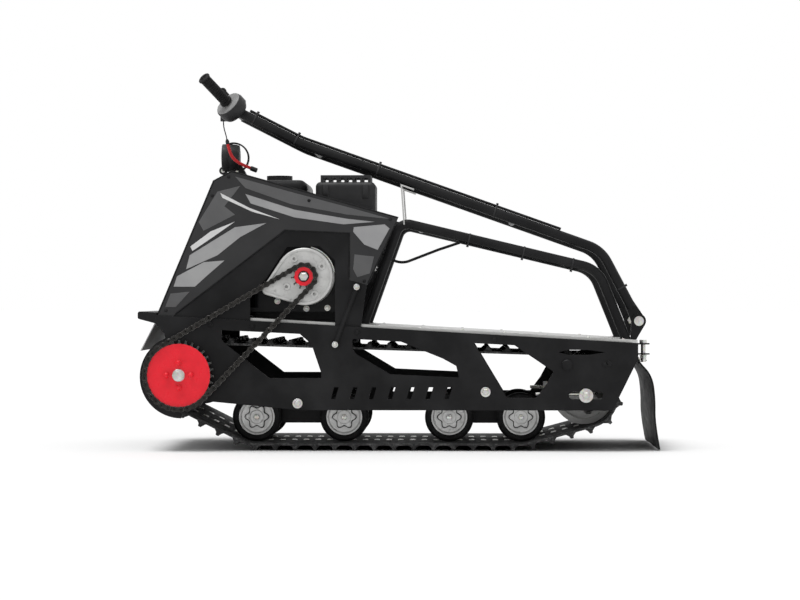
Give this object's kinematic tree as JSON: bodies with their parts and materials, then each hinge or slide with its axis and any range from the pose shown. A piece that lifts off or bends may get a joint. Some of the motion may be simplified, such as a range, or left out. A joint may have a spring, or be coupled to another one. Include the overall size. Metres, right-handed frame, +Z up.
{
  "type": "motorized snow tow",
  "caption": "Tracked walk-behind snow tow with a hooded petrol engine, chain drive to one wide rubber track, rear tow hitch and a hinged two-tube steering arm.",
  "frame": {"origin": "on the ground under the middle of the machine's length and width, steering arm folded forward", "axes": "+X to the rear, +Y to the machine's right, +Z up"},
  "size_m": [1.4969, 0.644, 1.0893],
  "materials": {
    "black_coat": "satin powder coat",
    "hood_paint": "satin with angular pattern",
    "deck_sheet": "dull mill finish",
    "red_paint": "gloss",
    "bright_steel": "zinc plated",
    "cast_alloy": "as cast",
    "chain_steel": "oiled",
    "engine_paint": "semi gloss",
    "exhaust_steel": "heat darkened",
    "black_plastic": "fine grain",
    "light_plastic": "moulded",
    "track_rubber": "matte",
    "roller_tyre": "matte",
    "soft_rubber": "matte",
    "dial_face": "printed",
    "clear_lens": "clear",
    "red_webbing": "woven"
  },
  "bodies": {
    "chassis": {"side_plate_left": "black_coat", "side_plate_right": "black_coat", "frame_rails": "black_coat", "cross_members": "black_coat", "deck_plate": "deck_sheet", "front_bumper": "black_coat", "front_deflector": "deck_sheet", "hood_panels": "hood_paint", "hood_nose": "hood_paint", "guard_plates": "black_coat", "engine_mount": "black_coat", "engine_block": "engine_paint", "engine_cowl": "engine_paint", "engine_cylinder": "cast_alloy", "gear_case": "cast_alloy", "recoil_housing": "engine_paint", "fuel_tank": "engine_paint", "fuel_cap": "black_plastic", "air_filter": "black_plastic", "muffler": "exhaust_steel", "output_sprocket": "red_paint", "drive_chain": "chain_steel", "drive_sprocket": "red_paint", "drive_shafts": "bright_steel", "bearing_housings": "cast_alloy", "track_drive_wheels": "light_plastic", "track_belt": "track_rubber", "idler_wheels": "light_plastic", "cross_shafts": "bright_steel", "roller_tyres": "roller_tyre", "roller_hubs": "cast_alloy", "bogie_beams": "black_coat", "track_tensioners": "bright_steel", "hoop_left": "black_coat", "hoop_right": "black_coat", "hoop_crossbars": "black_coat", "brace_struts": "black_coat", "pivot_ears": "black_coat", "pivot_bolts": "bright_steel", "arm_rest_bracket": "deck_sheet", "throttle_cable": "soft_rubber", "light_bracket": "black_coat", "light_body": "black_plastic", "light_lens": "clear_lens", "hitch_plates": "black_coat", "hitch_pin": "bright_steel", "rear_flap": "soft_rubber"},
    "steering_arm": {"arm_left": "black_coat", "arm_right": "black_coat", "arm_crossbars": "black_coat", "handlebar": "black_coat", "grips": "soft_rubber", "gauge_housing": "black_plastic", "gauge_face": "dial_face", "ignition_switch": "black_plastic", "lanyard_cord": "soft_rubber", "lanyard_strap": "red_webbing", "lanyard_clip": "black_plastic", "arm_cable": "soft_rubber"}
  },
  "joints": [
    {"name": "arm_fold", "type": "hinge", "parent": "chassis", "child": "steering_arm", "pos_m": [0.6907, 0, 0.371], "axis": [0, 1, 0], "range_deg": [0, 125]}
  ]
}
